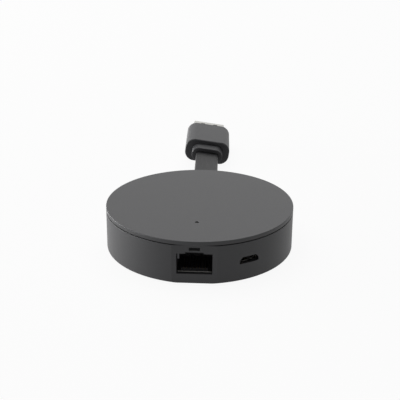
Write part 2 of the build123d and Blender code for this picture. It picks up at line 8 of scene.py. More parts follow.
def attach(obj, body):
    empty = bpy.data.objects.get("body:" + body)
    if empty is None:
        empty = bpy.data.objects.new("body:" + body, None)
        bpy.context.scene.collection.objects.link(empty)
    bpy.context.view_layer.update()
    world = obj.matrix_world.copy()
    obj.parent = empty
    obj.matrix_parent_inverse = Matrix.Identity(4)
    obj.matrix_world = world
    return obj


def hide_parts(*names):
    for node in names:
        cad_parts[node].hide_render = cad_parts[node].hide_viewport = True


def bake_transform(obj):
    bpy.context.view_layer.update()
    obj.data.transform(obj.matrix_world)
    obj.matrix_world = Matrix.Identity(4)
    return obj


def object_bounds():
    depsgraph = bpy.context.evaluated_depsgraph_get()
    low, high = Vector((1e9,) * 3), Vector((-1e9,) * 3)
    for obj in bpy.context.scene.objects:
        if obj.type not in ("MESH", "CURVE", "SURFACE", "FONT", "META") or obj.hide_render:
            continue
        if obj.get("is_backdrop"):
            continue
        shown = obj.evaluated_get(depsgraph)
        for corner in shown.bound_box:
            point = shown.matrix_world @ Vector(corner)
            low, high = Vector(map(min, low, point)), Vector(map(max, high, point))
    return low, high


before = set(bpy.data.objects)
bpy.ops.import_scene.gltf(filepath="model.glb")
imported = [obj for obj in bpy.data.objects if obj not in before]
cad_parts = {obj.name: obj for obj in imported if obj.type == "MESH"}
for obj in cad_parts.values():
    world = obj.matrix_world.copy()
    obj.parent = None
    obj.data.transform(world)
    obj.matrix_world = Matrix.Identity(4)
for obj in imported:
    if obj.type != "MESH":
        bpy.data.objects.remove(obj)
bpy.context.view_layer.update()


# Lid: a round plate of dark grey ABS, injection moulded in a spark-eroded mould, with a soft
# upper edge and the pinhole for the status light. A lip locates it in the base, and four
# posts under it take the case screws.
case_radius = 32.5
lid_low, lid_top = 13.93, 15.35
lid_edge, seam_edge = 0.2, 0.12
lid_core_radius = 24
pinhole_place, pinhole_radius, pinhole_edge = (0.0, -16.9), 0.65, 0.1
lip_inner, lip_outer, lip_low, lip_gap = 29.6, 30.6, 12.43, 7.85
lid_post_width, lid_post_low, lid_post_bore, lid_post_depth = 4.8, 6.05, 2.1, 5.5
screw_circle, screw_angles = 24, (-12, 58, 122, 192)
screw_places = [
    (screw_circle * cos(radians(a)), screw_circle * sin(radians(a))) for a in screw_angles
]
overlap, touch = 0.05, 0.01


def linear(code):
    """Linear colour of an sRGB hex code."""
    parts = [int(code[i : i + 2], 16) / 255 for i in (1, 3, 5)]
    return (*(c / 12.92 if c <= 0.04045 else ((c + 0.055) / 1.055) ** 2.4 for c in parts), 1.0)


def node(tree, kind, inputs, **settings):
    """Adds a shader node, sets it up, and fills its inputs with values or links."""
    made = tree.nodes.new(kind)
    for name, value in settings.items():
        setattr(made, name, value)
    for name, value in inputs.items():
        if isinstance(value, bpy.types.NodeSocket):
            tree.links.new(value, made.inputs[name])
        else:
            made.inputs[name].default_value = value
    return made


def grained(name, dark, light, grain, patch, relief, gloss, along=(1, 1, 1), **surface):
    """A finish with slow patches in its tone and a fine grain in its gloss and relief.

    The grain, patch and relief are in millimetres; along below 1 draws the grain out that way.
    """
    finish = bpy.data.materials.new(name)
    finish.use_nodes = True
    tree = finish.node_tree
    tree.nodes.clear()
    place = node(tree, "ShaderNodeTexCoord", {})
    metres = {"Vector": place.outputs["Object"], "Scale": [1000 * share for share in along]}
    in_mm = node(tree, "ShaderNodeMapping", metres).outputs[0]
    slow = node(tree, "ShaderNodeTexNoise", {"Vector": in_mm, "Scale": 1 / patch, "Detail": 3.0})
    tones = {0: slow.outputs[0], 6: linear(dark), 7: linear(light)}
    tone = node(tree, "ShaderNodeMix", tones, data_type="RGBA")
    speckle = {"Vector": in_mm, "Scale": 1 / grain, "Detail": 3.0, "Roughness": 0.6}
    fine = node(tree, "ShaderNodeTexNoise", speckle)
    limits = {"From Min": 0.3, "From Max": 0.7, "To Min": gloss[0], "To Max": gloss[1]}
    rough = node(tree, "ShaderNodeMapRange", {"Value": fine.outputs[0], **limits})
    height = {"Height": fine.outputs[0], "Strength": 1.0, "Distance": relief / 1000}
    skin = node(tree, "ShaderNodeBump", height)
    surface |= {"Base Color": tone.outputs[2], "Roughness": rough.outputs[0]}
    surface |= {"Normal": skin.outputs[0]}
    shader = node(tree, "ShaderNodeBsdfPrincipled", surface)
    node(tree, "ShaderNodeOutputMaterial", {"Surface": shader.outputs[0]})
    return finish


def edges_where(shape, test):
    """The edges whose two ends both pass the test."""
    return [edge for edge in shape.edges if all(test(vert.co) for vert in edge.verts)]


def soften(shape, edges, radius, segments):
    """Rounds edges with a mould maker's corner radius."""
    bmesh.ops.bevel(
        shape, geom=edges, offset=radius, offset_type="OFFSET", segments=segments,
        profile=0.5, affect="EDGES", clamp_overlap=True, material=-1,
    )


def push(shape, faces, vector):
    """Pulls faces out of a shape, or into it, and returns the faces that moved."""
    made = bmesh.ops.extrude_face_region(shape, geom=faces)["geom"]
    moved = [g for g in made if isinstance(g, bmesh.types.BMVert)]
    bmesh.ops.translate(shape, vec=vector, verts=moved)
    return [g for g in made if isinstance(g, bmesh.types.BMFace)]


def step_in(shape, faces, width):
    """Leaves a flat step of an even width round the edge of faces."""
    bmesh.ops.inset_region(
        shape, faces=faces, thickness=width, use_boundary=True, use_even_offset=True
    )


def drilled_post(shape, x, y, width, low, high, bores):
    """An upright screw post, drilled from below in steps of a bore and its depth."""
    middle = Matrix.Translation((x, y, (low + high) / 2))
    post = bmesh.ops.create_cone(
        shape, cap_ends=True, segments=32, radius1=width / 2, radius2=width / 2, depth=high - low,
        matrix=middle,
    )
    faces = {face for vert in post["verts"] for face in vert.link_faces}
    foot = [min(faces, key=lambda face: face.calc_center_median().z)]
    for bore, depth in bores:
        step_in(shape, foot, (width - bore) / 2)
        foot = push(shape, foot, (0, 0, depth))
        width = bore


def as_piece(shape, name, finish, slot, body, *nodes):
    """Closes a shape drawn in millimetres and makes it a piece of the object in metres."""
    bmesh.ops.remove_doubles(shape, verts=shape.verts, dist=0.0005)
    bmesh.ops.recalc_face_normals(shape, faces=shape.faces)
    bmesh.ops.scale(shape, vec=(0.001, 0.001, 0.001), verts=shape.verts)
    mesh = bpy.data.meshes.new(name)
    shape.to_mesh(mesh)
    shape.free()
    mesh.shade_smooth()
    mesh.set_sharp_from_angle(angle=radians(35))
    mesh.materials.append(finish)
    piece = bpy.data.objects.new(name, mesh)
    bpy.context.scene.collection.objects.link(piece)
    if body:
        even = piece.modifiers.new("even_shading", "WEIGHTED_NORMAL")
        even.keep_sharp = True
        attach(piece, body)
    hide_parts(*nodes)
    return piece


# The ABS shows soft broad highlights at its rim and no mirror image. Its spark-eroded grain
# is about 0.08 mm; it is drawn at 0.3 mm, about one pixel of the picture.
case_abs = grained(
    "ABS_spark_eroded_satin", "#242426", "#272729", grain=0.3, patch=14, relief=0.003,
    gloss=(0.43, 0.51), IOR=1.48
)

lid = bmesh.new()
wall = (
    (lid_core_radius, lid_top), (case_radius, lid_top), (case_radius, lid_low),
    (lid_core_radius, lid_low),
)
section = [lid.verts.new((x, 0, z)) for x, z in wall]
outline = [lid.edges.new(pair) for pair in zip(section, section[1:])]
bmesh.ops.spin(
    lid, geom=section + outline, cent=(0, 0, 0), axis=(0, 0, 1), angle=2 * pi, steps=240,
    use_merge=True,
)


def at_rim(co, z):
    """True on the case's outer edge at a height."""
    return co.xy.length > case_radius - touch and abs(co.z - z) < touch


def at_pinhole(co):
    """True on the pinhole's two edges."""
    return (co.xy - Vector(pinhole_place)).length < pinhole_radius + touch


soften(lid, edges_where(lid, lambda co: at_rim(co, lid_top)), lid_edge, 6)
soften(lid, edges_where(lid, lambda co: at_rim(co, lid_low)), seam_edge, 2)
# The pinhole is drawn 0.13 mm wider all round than it is, so that it shows as a dark dot.
for z in (lid_top, lid_low):
    place = Matrix.Translation((*pinhole_place, z))
    bmesh.ops.create_circle(lid, cap_ends=False, radius=pinhole_radius, segments=32, matrix=place)
    rings = edges_where(
        lid, lambda co: abs(co.z - z) < touch and co.xy.length < lid_core_radius + touch
    )
    bmesh.ops.triangle_fill(lid, use_beauty=True, edges=rings)
bmesh.ops.bridge_loops(lid, edges=edges_where(lid, at_pinhole))
soften(lid, edges_where(lid, lambda co: at_pinhole(co) and co.z > lid_top - touch), pinhole_edge, 2)

half_gap = asin(lip_gap / lip_outer)
lip_root = lid_low + overlap
wall = ((lip_inner, lip_root), (lip_outer, lip_root), (lip_outer, lip_low), (lip_inner, lip_low))
lip = lid.faces.new([lid.verts.new((r * sin(half_gap), -r * cos(half_gap), z)) for r, z in wall])
bmesh.ops.spin(
    lid, geom=[lip, *lip.edges, *lip.verts], cent=(0, 0, 0), axis=(0, 0, 1),
    angle=2 * (pi - half_gap), steps=200,
)
for x, y in screw_places:
    bores = [(lid_post_bore, lid_post_depth)]
    drilled_post(lid, x, y, lid_post_width, lid_post_low, lid_low + overlap, bores)
as_piece(lid, "lid", case_abs, "case_plastic", "puck", "top_cover")


# Light pipe and lamp: a turned rod of smoked acrylic that stands over a small lamp on the
# board and ends just below the pinhole's mouth.
def dress(finish, *names):
    """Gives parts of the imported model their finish."""
    for name in names:
        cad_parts[name].material_slots[0].material = finish


# Smoked acrylic looks dark while the lamp is off; its sawn ends, with marks about 0.1 mm
# apart, are frosted.
acrylic = grained(
    "acrylic_smoked_frosted", "#3c4042", "#45494b", grain=0.1, patch=2, relief=0.0005,
    gloss=(0.45, 0.6), IOR=1.49, **{"Transmission Weight": 1.0, "Specular IOR Level": 0.15}
)
dress(acrylic, "light_pipe", "status_light")


# Base: a round cup of the lid's ABS, cut flat at the front for the network socket. Its wall
# steps in at the top, which leaves the dark seam under the lid. Short posts carry the board
# and take the screw heads.
base_low, base_high, floor_top = 0.25, 13.65, 1.75
wall_inner, neck_radius, flat_front = 30.7, 31.8, -31.68
recess_radius, recess_top = 27.6, 0.8
base_edge, mouth_edge = 0.35, 0.15
mouth_half, mouth_low, mouth_high = 5.8, 3.55, 10.65
step_half, step_high, notch_half, notch_high = 2.95, 11.2, 1.75, 12.8
power_half, power_low, power_knee, power_top_half, power_high = 3.6, 6.2, 7.35, 2.5, 8.5
power_turn = Matrix.Rotation(radians(33), 4, "Z")
lead_hole_width, lead_hole_height, lead_height = 12.0, 5.3, 6.75
jack_room_half, jack_room_front, jack_room_back = 6.95, -30.68, -28
base_post_width, base_post_top, head_hole_radius = 6.0, 4.85, 2.0
base_post_bores = [(4.0, 0.45), (2.2, 2.6)]
core_front, rim_core_back, power_core_back = -34, -30.6, -29
lead_core_start, lead_core_length, head_core_top = 29, 6, 3


def carve(shape, core, how="DIFFERENCE"):
    """Takes the volume of a core out of a shape, as a mould's core does, or joins the two."""
    made = []
    for solid in (shape, core):
        bmesh.ops.recalc_face_normals(solid, faces=solid.faces)
        mesh = bpy.data.meshes.new("core")
        solid.to_mesh(mesh)
        solid.free()
        made.append(bpy.data.objects.new("core", mesh))
        bpy.context.scene.collection.objects.link(made[-1])
    cut = made[0].modifiers.new("cut", "BOOLEAN")
    cut.operation, cut.solver, cut.object = how, "EXACT", made[1]
    bpy.context.view_layer.update()
    carved = bmesh.new()
    carved.from_object(made[0], bpy.context.evaluated_depsgraph_get())
    for solid in made:
        bpy.data.objects.remove(solid)
    bmesh.ops.remove_doubles(carved, verts=carved.verts, dist=0.0005)
    return carved


def bar(shape, points, start, end, turn=Matrix.Identity(4)):
    """A bar along Y between two depths, on an outline of x and z points; returns its corners."""
    near = shape.faces.new([shape.verts.new((x, start, z)) for x, z in points])
    ends = push(shape, [near], (0, end - start, 0))
    corners = list({vert for face in [near, *ends] for vert in face.verts})
    bmesh.ops.transform(shape, matrix=turn, verts=corners)
    return corners


def mirrored(points):
    """A closed outline from the points of its right half."""
    return points + [(-x, z) for x, z in reversed(points)]


def slot(shape, width, height, y, z):
    """A face across Y in the shape of a slot with round ends."""
    turn = Matrix.Translation((0, y, z)) @ Matrix.Rotation(pi / 2, 4, "X")
    ring = bmesh.ops.create_circle(
        shape, cap_ends=True, radius=height / 2, segments=48, matrix=turn
    )
    for side in (-1, 1):
        half = [vert for vert in ring["verts"] if vert.co.x * side > 0.001]
        bmesh.ops.translate(shape, vec=(side * (width - height) / 2, 0, 0), verts=half)
    return ring["verts"][0].link_faces[0]


base = bmesh.new()
wall = (
    (0, recess_top), (recess_radius, recess_top), (recess_radius, base_low),
    (case_radius, base_low), (case_radius, base_high), (neck_radius, base_high),
    (neck_radius, lid_low), (wall_inner, lid_low), (wall_inner, floor_top), (0, floor_top),
)
section = [base.verts.new((x, 0, z)) for x, z in wall]
outline = [base.edges.new(pair) for pair in zip(section, section[1:])]
bmesh.ops.spin(
    base, geom=section + outline, cent=(0, 0, 0), axis=(0, 0, 1), angle=2 * pi, steps=240,
    use_merge=True,
)
bmesh.ops.remove_doubles(base, verts=base.verts, dist=0.0005)
soften(base, edges_where(base, lambda co: at_rim(co, base_low)), base_edge, 4)
soften(base, edges_where(base, lambda co: at_rim(co, base_high)), seam_edge, 2)
everything = [*base.verts, *base.edges, *base.faces]
cut = bmesh.ops.bisect_plane(
    base, geom=everything, plane_co=(0, flat_front, 0), plane_no=(0, -1, 0), clear_outer=True
)
flat_outline = [g for g in cut["geom_cut"] if isinstance(g, bmesh.types.BMEdge)]
bmesh.ops.edgeloop_fill(base, edges=flat_outline)

# The cores run from outside the wall to inside it: one for each socket, for the lead and
# for each screw's head, and one that makes room behind the flat for the network socket.
openings = bmesh.new()
steps = [
    (mouth_half, mouth_low), (mouth_half, mouth_high), (step_half, mouth_high),
    (step_half, step_high), (notch_half, step_high), (notch_half, notch_high),
]
bar(openings, mirrored(steps), core_front, rim_core_back)
steps = [(power_half, power_low), (power_half, power_knee), (power_top_half, power_high)]
bar(openings, mirrored(steps), core_front, power_core_back, power_turn)
hole = slot(openings, lead_hole_width, lead_hole_height, lead_core_start, lead_height)
push(openings, [hole], (0, lead_core_length, 0))
for x, y in screw_places:
    bmesh.ops.create_cone(
        openings, cap_ends=True, segments=32, radius1=head_hole_radius,
        radius2=head_hole_radius, depth=head_core_top,
        matrix=Matrix.Translation((x, y, head_core_top / 2)),
    )
base = carve(base, openings)
jack_room = bmesh.new()
steps = [(jack_room_half, floor_top), (jack_room_half, lid_low + 1)]
bar(jack_room, mirrored(steps), jack_room_front, jack_room_back)
base = carve(base, jack_room)


def on_network_mouth(co):
    """True on the network opening's edge in the flat front."""
    inside = abs(co.x) < mouth_half + touch and mouth_low - touch < co.z < notch_high + touch
    return abs(co.y - flat_front) < touch and inside


def on_power_mouth(co):
    """True on the power opening's edge in the round wall."""
    across = (power_turn.inverted() @ co).x
    inside = abs(across) < power_half + touch and power_low - touch < co.z < power_high + touch
    return co.xy.length > case_radius - 2 * touch and co.y < 0 and inside


soften(base, edges_where(base, on_network_mouth), mouth_edge, 2)
soften(base, edges_where(base, on_power_mouth), mouth_edge, 2)
for x, y in screw_places:
    drilled_post(base, x, y, base_post_width, floor_top - overlap, base_post_top, base_post_bores)
as_piece(base, "base", case_abs, "case_plastic", "puck", "base_shell")


# Foot pad: a disc die-cut from black silicone rubber sheet and stuck in its recess. It hides
# the screws, and the case stands on it alone.
pad_radius, pad_top, pad_edge = 27.5, 0.8, 0.15

# Silicone rubber is matt, a little lighter where it is dusty, with a sheet grain of 0.1 mm,
# drawn at 0.35 mm so that it shows.
silicone = grained(
    "silicone_rubber_sheet", "#222224", "#2a2a2c", grain=0.35, patch=9, relief=0.012,
    gloss=(0.72, 0.86), IOR=1.41
)
pad = bmesh.new()
bmesh.ops.create_cone(
    pad, cap_ends=True, segments=180, radius1=pad_radius, radius2=pad_radius, depth=pad_top,
    matrix=Matrix.Translation((0, 0, pad_top / 2)),
)
soften(pad, edges_where(pad, lambda co: co.z < touch), pad_edge, 3)
as_piece(pad, "foot_pad_disc", silicone, "foot_rubber", "puck", "foot_pad")


# Case screws: four pan-head thread-forming screws of zinc-plated steel, under the foot pad.
# Zinc plating is a cool bright grey, a little clouded.
zinc = grained(
    "steel_zinc_plated", "#8d9094", "#a9acb0", grain=0.2, patch=1.5, relief=0.002,
    gloss=(0.28, 0.42), Metallic=1.0
)
dress(zinc, "case_screws")


# Main board: glass-fibre laminate with green solder mask, with its parts soldered on. It
# lies on the base's posts and holds the sockets, the radio and the lamp.
def solder_mask(name):
    """Green mask, lighter over areas of copper 3 mm across, with 0.3 mm gaps between them."""
    finish = bpy.data.materials.new(name)
    finish.use_nodes = True
    tree = finish.node_tree
    tree.nodes.clear()
    place = node(tree, "ShaderNodeTexCoord", {})
    metres = {"Vector": place.outputs["Object"], "Scale": (1000, 1000, 1000)}
    in_mm = node(tree, "ShaderNodeMapping", metres).outputs[0]
    areas = {"Vector": in_mm, "Scale": 1 / 3}
    cells = node(tree, "ShaderNodeTexVoronoi", areas, feature="DISTANCE_TO_EDGE")
    limits = {"From Min": 0.04, "From Max": 0.06}
    copper = node(tree, "ShaderNodeMapRange", {"Value": cells.outputs["Distance"], **limits})
    tones = {0: copper.outputs[0], 6: linear("#0d3322"), 7: linear("#1b5636")}
    tone = node(tree, "ShaderNodeMix", tones, data_type="RGBA")
    height = {"Height": copper.outputs[0], "Strength": 1.0, "Distance": 0.00003}
    lift = node(tree, "ShaderNodeBump", height)
    surface = {"Base Color": tone.outputs[2], "Normal": lift.outputs[0], "Roughness": 0.32}
    shader = node(tree, "ShaderNodeBsdfPrincipled", {**surface, "IOR": 1.52})
    node(tree, "ShaderNodeOutputMaterial", {"Surface": shader.outputs[0]})
    return finish


dress(solder_mask("laminate_green_solder_mask"), "main_board", "radio_module", "plug_card")

# Chips are moulded in black epoxy filled with silica, which looks matt and finely speckled.
epoxy = grained(
    "epoxy_moulding_compound", "#19191b", "#232325", grain=0.08, patch=4, relief=0.004,
    gloss=(0.5, 0.66), IOR=1.55
)
dress(epoxy, "processor", "memory_chips", "flash_chip", "network_chip", "power_chip")
dress(epoxy, "network_transformer", "chip_resistors")

# The coils' cores are sintered ferrite: near black, dull, with a coarse grain.
ferrite = grained(
    "ferrite_sintered", "#252528", "#36363a", grain=0.12, patch=1.2, relief=0.008,
    gloss=(0.6, 0.8), IOR=2.0
)
dress(ferrite, "power_inductors")

# Chip capacitors are fired barium titanate, a warm brown with a slight glaze.
ceramic = grained(
    "ceramic_fired_brown", "#6b4c33", "#8a6748", grain=0.1, patch=0.8, relief=0.003,
    gloss=(0.35, 0.5), IOR=2.1
)
dress(ceramic, "chip_capacitors")

# The bulk capacitors' cans are deep drawn, so the grain runs up the can.
drawn_can = grained(
    "aluminium_drawn_can", "#a2a4a7", "#b9bbbe", grain=0.06, patch=1.0, relief=0.002,
    gloss=(0.22, 0.36), along=(1, 1, 0.1), Metallic=1.0
)
dress(drawn_can, "bulk_capacitors")


# Heat spreader and thermal pad: a plate stamped from rolled aluminium on the base's floor,
# pressed on the processor through a soft pad of filled silicone.
# Rolled aluminium is a pale metal with a soft gloss, drawn out along the sheet.
rolled = grained(
    "aluminium_rolled_sheet", "#a9abad", "#bcbec0", grain=0.12, patch=3, relief=0.002,
    gloss=(0.26, 0.4), along=(0.05, 1, 1), Metallic=1.0
)
dress(rolled, "heat_spreader")

# The pad is dull blue-grey and speckled by its ceramic filler.
thermal_silicone = grained(
    "silicone_thermal_pad", "#6f7880", "#8a939b", grain=0.15, patch=2, relief=0.01,
    gloss=(0.75, 0.9), IOR=1.43
)
dress(thermal_silicone, "thermal_pad")


# Network socket: a black glass-filled nylon body in a shield folded from plated steel, one
# of whose fingers hangs in the mouth's upper left. Eight bronze spring wires come up behind
# a comb on the floor, and a tinned sill lies in front of the comb.
spring_count, spring_pitch, spring_wire, spring_tail = 8, 1.02, 0.3, 0.2
spring_front, spring_back, spring_low, spring_high = -29.68, -21.18, 4.05, 5.57
jack_front, shield_sheet = -30.48, 0.2
shield_back, shield_half, shield_low, shield_high = -18.08, 6.85, 2.35, 13.4
ear_reach, ear_low, ear_front, ear_back = 8.25, 6.05, -26.38, -22.38
finger_left, finger_right, finger_low, finger_high, leaf_length = -5.57, -4.93, 8.45, 13.3, 2.5
sill_half, sill_low, sill_high = 5.4, 3.86, 4.04
rail_half, rail_low, rail_high = 2.9, 10.7, 11.4
comb_half, comb_low, comb_high, comb_front, comb_back = 4.3, 4.05, 4.95, -30.18, -29.83
comb_slot_half, comb_slot_low = 0.2, 4.3

# Nylon with glass fibre is black and satin; the fibres, 0.2 mm long, mottle its gloss.
nylon = grained(
    "nylon_glass_filled", "#0e0e0f", "#151516", grain=0.2, patch=3, relief=0.002,
    gloss=(0.45, 0.62), IOR=1.53
)
# The comb is cut, not moulded smooth, so it has hardly any gloss.
dull_nylon = grained(
    "nylon_cut", "#101011", "#181819", grain=0.2, patch=3, relief=0.004,
    gloss=(0.8, 0.95), IOR=1.35
)
# Nickel plating is a warm grey metal with a soft rolled gloss.
nickel = grained(
    "steel_nickel_plated", "#a8a7a3", "#b8b7b3", grain=0.15, patch=2, relief=0.001,
    gloss=(0.28, 0.38), along=(1, 0.2, 1), Metallic=1.0
)
# The shield's nickel plating is drawn as a dark neutral metal: painted shade, standing in for the
# dark socket that it mirrors, so the socket stays dark inside.
nickel_painted_shade = grained(
    "steel_nickel_plated_painted_shade", "#38383a", "#444446", grain=0.15, patch=2, relief=0.001,
    gloss=(0.3, 0.42), along=(1, 0.2, 1), Metallic=1.0
)
# Gold flash on phosphor bronze: a thin warm yellow metal with drawing lines along the wire.
gilt = grained(
    "bronze_gold_flash", "#c39a4c", "#d6b062", grain=0.1, patch=1.5, relief=0.001,
    gloss=(0.25, 0.38), along=(1, 0.1, 1), Metallic=1.0
)
# The socket's springs are gilt bronze drawn in a dark grey brown that shows only faintly: painted
# shade for their place deep in the socket.
bronze_painted_shade = grained(
    "bronze_gold_flash_painted_shade", "#3a342a", "#4a4236", grain=0.1, patch=1.5, relief=0.001,
    gloss=(0.35, 0.5), along=(1, 0.1, 1), Metallic=1.0
)
# The sill is tinned steel drawn in a darker grey than tin, so it draws a grey line and no bright
# one: painted shade in the socket's mouth.
tin_painted_shade = grained(
    "steel_tinned_painted_shade", "#747471", "#7f7e7b", grain=0.15, patch=2, relief=0.001,
    gloss=(0.4, 0.55), along=(1, 0.2, 1), Metallic=1.0
)
dress(nylon, "network_jack_body")
dress(nickel, "radio_shield", "crystals")
dress(gilt, "antennas")


def oblong(left, right, low, high):
    """An outline's four corners, for a plain bar."""
    return [(right, low), (right, high), (left, high), (left, low)]


shield = bmesh.new()
bar(shield, oblong(-shield_half, shield_half, shield_low, shield_high), jack_front, shield_back)
room = bmesh.new()
half, high = shield_half - shield_sheet, shield_high - shield_sheet
bar(room, oblong(-half, half, shield_low - 1, high), jack_front - 1, shield_back - shield_sheet)
shield = carve(shield, room)
for side in (-1, 1):
    near, far = sorted((side * (shield_half - shield_sheet / 2), side * ear_reach))
    bar(shield, oblong(near, far, ear_low, ear_low + shield_sheet), ear_front, ear_back)
finger = oblong(finger_left, finger_right, finger_low, finger_high)
bar(shield, finger, jack_front - shield_sheet, jack_front)
leaf = oblong(finger_left, finger_right, finger_low, finger_low + shield_sheet)
bar(shield, leaf, jack_front, jack_front + leaf_length)
as_piece(shield, "network_shield", nickel_painted_shade, "shield_steel", "puck", "network_jack_shield")

sill = bmesh.new()
bar(sill, oblong(-sill_half, sill_half, sill_low, sill_high), jack_front - shield_sheet, jack_front)
as_piece(sill, "network_sill", tin_painted_shade, "shield_steel", "puck")

# The latch's rail is a bridge of the case's own ABS across the notch, behind the flat's wall.
rail = bmesh.new()
bar(rail, oblong(-rail_half, rail_half, rail_low, rail_high), jack_front - shield_sheet, jack_front)
as_piece(rail, "latch_rail", case_abs, "case_plastic", "puck")

comb = bmesh.new()
bar(comb, oblong(-comb_half, comb_half, comb_low, comb_high), comb_front, comb_back)
gaps = bmesh.new()
for i in range(spring_count):
    x = (i - (spring_count - 1) / 2) * spring_pitch
    gap = oblong(x - comb_slot_half, x + comb_slot_half, comb_slot_low, comb_high + 1)
    bar(gaps, gap, comb_front - 1, comb_back + 1)
comb = carve(comb, gaps)
as_piece(comb, "contact_comb", dull_nylon, "jack_plastic", "puck")

springs = bmesh.new()
bend = (spring_high - spring_low - spring_wire) / 4
place = Matrix.Translation((0, spring_back, spring_low + spring_wire / 2))
place = place @ Matrix.Rotation(pi / 2, 4, "X")
ring = bmesh.ops.create_circle(
    springs, cap_ends=True, radius=spring_wire / 2, segments=10, matrix=place
)
run = spring_front + spring_wire / 2 + bend - spring_back
end = push(springs, [ring["verts"][0].link_faces[0]], (0, run, 0))
middle = (0, spring_back + run, spring_low + spring_wire / 2 + bend)
turned = bmesh.ops.spin(
    springs, geom=[*end, *end[0].edges, *end[0].verts], cent=middle, axis=(-1, 0, 0), angle=pi,
    steps=8,
)["geom_last"]
end = [g for g in turned if isinstance(g, bmesh.types.BMFace)]
rise = spring_high - spring_low - spring_wire - 2 * bend
push(springs, end, (0, -run - spring_tail, rise))
first = [*springs.verts, *springs.edges, *springs.faces]
for i in range(1, spring_count):
    copied = bmesh.ops.duplicate(springs, geom=first)["geom"]
    moved = [g for g in copied if isinstance(g, bmesh.types.BMVert)]
    bmesh.ops.translate(springs, vec=(i * spring_pitch, 0, 0), verts=moved)
first_place = -(spring_count - 1) * spring_pitch / 2
bmesh.ops.translate(springs, vec=(first_place, 0, 0), verts=springs.verts)
as_piece(springs, "network_springs", bronze_painted_shade, "contact_gold", "puck", "network_contacts")


# Power socket: a sleeve folded from nickel-plated steel round a black tongue with five gilt
# contact strips, soldered on the board behind its opening in the wall.
dress(nickel, "power_socket_shell")
dress(nylon, "power_socket_tongue")
dress(gilt, "power_contacts")


# Lead gland: a sleeve of soft dark grey PVC moulded on the flat lead, held by its flange
# behind the wall. Its mouth stands a little out of the wall, with a round edge.
gland_width, gland_height, gland_flange, gland_flange_depth = 11.8, 5.1, 1.2, 1.2
gland_back, gland_seat, gland_front, gland_edge = 26.17, 29.77, 33.2, 0.3
lead_width, lead_thickness, lead_edge, lead_room = 9.3, 2.6, 0.9, 0.15


def soften_long_edges(shape, corners, radius, segments):
    """Rounds the edges of a bar that run along Y."""
    edges = {edge for vert in corners for edge in vert.link_edges}
    edges = [e for e in edges if abs(e.verts[0].co.y - e.verts[1].co.y) > touch]
    soften(shape, edges, radius, segments)


def rounded_bar(shape, width, height, corner, start, end, z=0.0):
    """A bar along Y with a rounded rectangle for its section."""
    points = oblong(-width / 2, width / 2, z - height / 2, z + height / 2)
    soften_long_edges(shape, bar(shape, points, start, end), corner, 14)


def lead_passage(shape, start, end, z=0.0):
    """The room for the flat lead through a piece that is moulded round it."""
    width, height = lead_width + 2 * lead_room, lead_thickness + 2 * lead_room
    rounded_bar(shape, width, height, lead_edge + lead_room, start, end, z)


# Soft PVC has the ABS's dark grey in a duller satin, with a mould grain of 0.1 mm, drawn at
# 0.3 mm.
soft_pvc = grained(
    "PVC_soft_moulded", "#242426", "#272729", grain=0.3, patch=6, relief=0.003,
    gloss=(0.46, 0.56), IOR=1.39
)

gland = bmesh.new()
mouth = slot(gland, gland_width, gland_height, gland_back, lead_height)
push(gland, [mouth], (0, gland_front - gland_back, 0))
soften(gland, edges_where(gland, lambda co: co.y > gland_front - touch), gland_edge, 4)
flange = bmesh.new()
broad, tall = gland_width + 2 * gland_flange, gland_height + 2 * gland_flange
push(flange, [slot(flange, broad, tall, gland_seat, lead_height)], (0, -gland_flange_depth, 0))
gland = carve(gland, flange, "UNION")
passage = bmesh.new()
lead_passage(passage, gland_back - 1, gland_front + 1, lead_height)
gland = carve(gland, passage)
as_piece(gland, "gland", soft_pvc, "soft_plastic", "puck", "cable_gland")


# Flat lead: a ribbon of parallel wires in one extruded PVC jacket, bonded into the case and
# the plug. It leaves the gland level, sinks a little and turns with the plug.
plug_yaw, plug_pitch, plug_roll = radians(1.6), radians(-2.0), radians(8.0)
plug_back = (-0.93, 77.9, 6.515)
boot_length = 5.5
lead_back, lead_end, lead_bond, lead_steps = 25.57, 5.0, 1.5, 64


def plug_turn(share):
    """A share of the turn that the plug makes from the case's own directions."""
    turn = Matrix.Rotation(plug_yaw * share, 4, "Z")
    turn = turn @ Matrix.Rotation(plug_pitch * share, 4, "X")
    return turn @ Matrix.Rotation(plug_roll * share, 4, "Y")


plug_place = Matrix.Translation(plug_back) @ plug_turn(1)


def lead_station(share):
    """Where the lead's section stands at a share of its free run, in line with both ends."""
    ease = share * share * (3 - 2 * share)
    start, end = Vector((0, gland_front, lead_height)), plug_place @ Vector((0, -boot_length, 0))
    run = end.y - start.y
    leaving = Vector((0, run, 0)) * share * (1 - share) ** 2
    arriving = (plug_turn(1) @ Vector((0, run, 0))) * share * share * (share - 1)
    return Matrix.Translation(start.lerp(end, ease) + leaving + arriving) @ plug_turn(ease)


# Extruded PVC is near black and satin, with a weak gloss, even at a low angle, and faint
# draw lines along the lead about 0.3 mm apart.
jacket = grained(
    "PVC_extruded_jacket", "#0f0f10", "#131314", grain=0.3, patch=10, relief=0.002,
    gloss=(0.36, 0.44), along=(1, 0.05, 1), IOR=1.29
)
stations = [Matrix.Translation((0, y, lead_height)) for y in (lead_back, gland_front - lead_bond)]
stations += [lead_station(i / lead_steps) for i in range(lead_steps + 1)]
stations += [plug_place @ Matrix.Translation((0, y, 0)) for y in (0.0, lead_end)]
lead = bmesh.new()
points = oblong(-lead_width / 2, lead_width / 2, -lead_thickness / 2, lead_thickness / 2)
section = [lead.verts.new((x, 0, z)) for x, z in points]
lead.faces.new(section)
bmesh.ops.bevel(
    lead, geom=section, offset=lead_edge, offset_type="OFFSET", segments=8, profile=0.5,
    affect="VERTICES", material=-1,
)
end = list(lead.faces)
bmesh.ops.transform(lead, matrix=stations[0], verts=lead.verts)
for near, far in zip(stations, stations[1:]):
    end = push(lead, end, (0, 0, 0))
    bmesh.ops.transform(lead, matrix=far @ near.inverted(), verts=end[0].verts)
ribbon = as_piece(lead, "lead_ribbon", jacket, "lead_jacket", None, "flat_lead")
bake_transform(ribbon)


